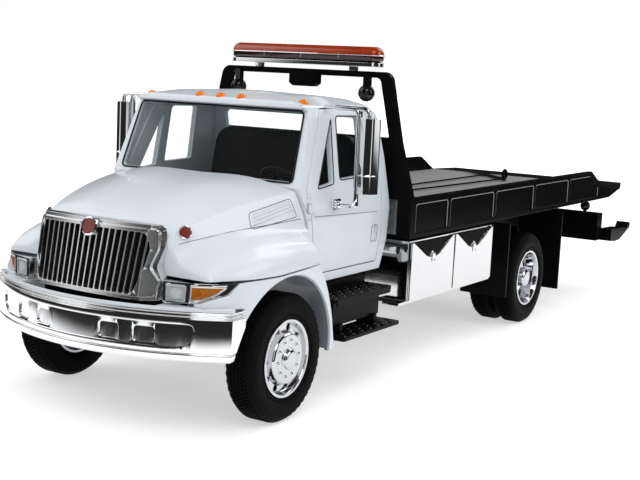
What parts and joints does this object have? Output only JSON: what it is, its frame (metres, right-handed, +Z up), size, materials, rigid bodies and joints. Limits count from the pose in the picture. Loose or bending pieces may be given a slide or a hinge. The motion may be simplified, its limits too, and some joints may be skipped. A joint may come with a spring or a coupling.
{
  "type": "flatbed tow truck model",
  "caption": "Scale model of a flatbed tow truck: conventional cab with tipping hood, tilting and sliding bed, headboard with light bar, wheel lift.",
  "frame": {"origin": "middle of the overall length and width, on the floor under the tyres", "axes": "+X to the truck's left side, +Y to the rear, +Z up; the cab faces -Y"},
  "size_m": [0.1176, 0.4116, 0.125],
  "materials": {
    "white_paint": "gloss",
    "black_paint": "gloss",
    "tyre": "satin",
    "black_plastic": "satin",
    "interior_grey": "matt",
    "dark_metal": "satin",
    "deck_grey": "satin",
    "silver": "polished",
    "chrome": "polished",
    "clear_lens": "gloss",
    "amber_lens": "gloss",
    "window": "clear"
  },
  "bodies": {
    "chassis": {"frame_rails": "black_paint", "front_bumper": "chrome", "cab_shell": "white_paint", "cab_glass": "window", "roof_lamps": "amber_lens", "cab_seats": "interior_grey", "dashboard": "interior_grey", "steering_wheel": "black_plastic", "engine_block": "dark_metal", "fender_left": "white_paint", "fender_right": "white_paint", "valance": "white_paint", "headlamp_left": "clear_lens", "headlamp_right": "clear_lens", "cab_steps_left": "black_plastic", "cab_steps_right": "black_plastic", "toolbox_left": "silver", "toolbox_right": "silver", "cross_tube": "silver", "mudflaps": "black_plastic", "front_axle": "dark_metal", "rear_axle": "dark_metal", "drive_shaft": "dark_metal"},
    "front_wheel_left": {"front_rim_left": "chrome", "front_tyre_left": "tyre"},
    "front_wheel_right": {"front_rim_right": "chrome", "front_tyre_right": "tyre"},
    "rear_wheel_left": {"rear_rims_left": "chrome", "rear_tyres_left": "tyre"},
    "rear_wheel_right": {"rear_rims_right": "chrome", "rear_tyres_right": "tyre"},
    "hood": {"hood": "white_paint", "grille": "chrome", "grille_backing": "black_plastic"},
    "door_left": {"door_left": "white_paint", "door_glass_left": "window", "mirror_left": "chrome"},
    "door_right": {"door_right": "white_paint", "door_glass_right": "window", "mirror_right": "chrome"},
    "subframe": {"subframe": "black_paint", "tail_board": "black_paint", "rear_work_lamps": "black_plastic"},
    "lift_arm": {"lift_boom": "black_paint"},
    "lift_slide": {"lift_crossbar": "black_paint"},
    "deck": {"deck_floor": "deck_grey", "side_rail_left": "black_paint", "side_rail_right": "black_paint", "tail_plate": "black_paint", "headboard": "black_paint", "front_plate": "silver", "work_lamps": "black_plastic", "light_bar_base": "chrome", "light_bar_lens": "amber_lens", "winch": "black_paint", "winch_line": "black_plastic"}
  },
  "joints": [
    {"name": "front_left_spin", "type": "hinge", "parent": "chassis", "child": "front_wheel_left", "pos_m": [0.0454, -0.15775, 0.0216], "axis": [1, 0, 0], "continuous": true},
    {"name": "front_right_spin", "type": "hinge", "parent": "chassis", "child": "front_wheel_right", "pos_m": [-0.0454, -0.15775, 0.0216], "axis": [1, 0, 0], "continuous": true},
    {"name": "rear_left_spin", "type": "hinge", "parent": "chassis", "child": "rear_wheel_left", "pos_m": [0.0386, 0.05365, 0.0216], "axis": [1, 0, 0], "continuous": true},
    {"name": "rear_right_spin", "type": "hinge", "parent": "chassis", "child": "rear_wheel_right", "pos_m": [-0.0386, 0.05365, 0.0216], "axis": [1, 0, 0], "continuous": true},
    {"name": "hood_tilt", "type": "hinge", "parent": "chassis", "child": "hood", "pos_m": [0, -0.19495, 0.0412], "axis": [1, 0, 0], "range_deg": [0, 30]},
    {"name": "door_left_swing", "type": "hinge", "parent": "chassis", "child": "door_left", "pos_m": [0.043, -0.13585, 0.068], "axis": [0, 0, -1], "range_deg": [0, 60]},
    {"name": "door_right_swing", "type": "hinge", "parent": "chassis", "child": "door_right", "pos_m": [-0.043, -0.13585, 0.068], "axis": [0, 0, 1], "range_deg": [0, 60]},
    {"name": "bed_tilt", "type": "hinge", "parent": "chassis", "child": "subframe", "pos_m": [0, 0.13925, 0.038], "axis": [-1, 0, 0], "range_deg": [0, 18]},
    {"name": "bed_slide", "type": "slide", "parent": "subframe", "child": "deck", "axis": [0, 1, 0], "range_m": [0, 0.13]},
    {"name": "lift_swing", "type": "hinge", "parent": "subframe", "child": "lift_arm", "pos_m": [0, 0.15325, 0.0315], "axis": [1, 0, 0], "range_deg": [-2, 10]},
    {"name": "lift_extend", "type": "slide", "parent": "lift_arm", "child": "lift_slide", "axis": [0, 1, 0], "range_m": [0, 0.016]}
  ]
}
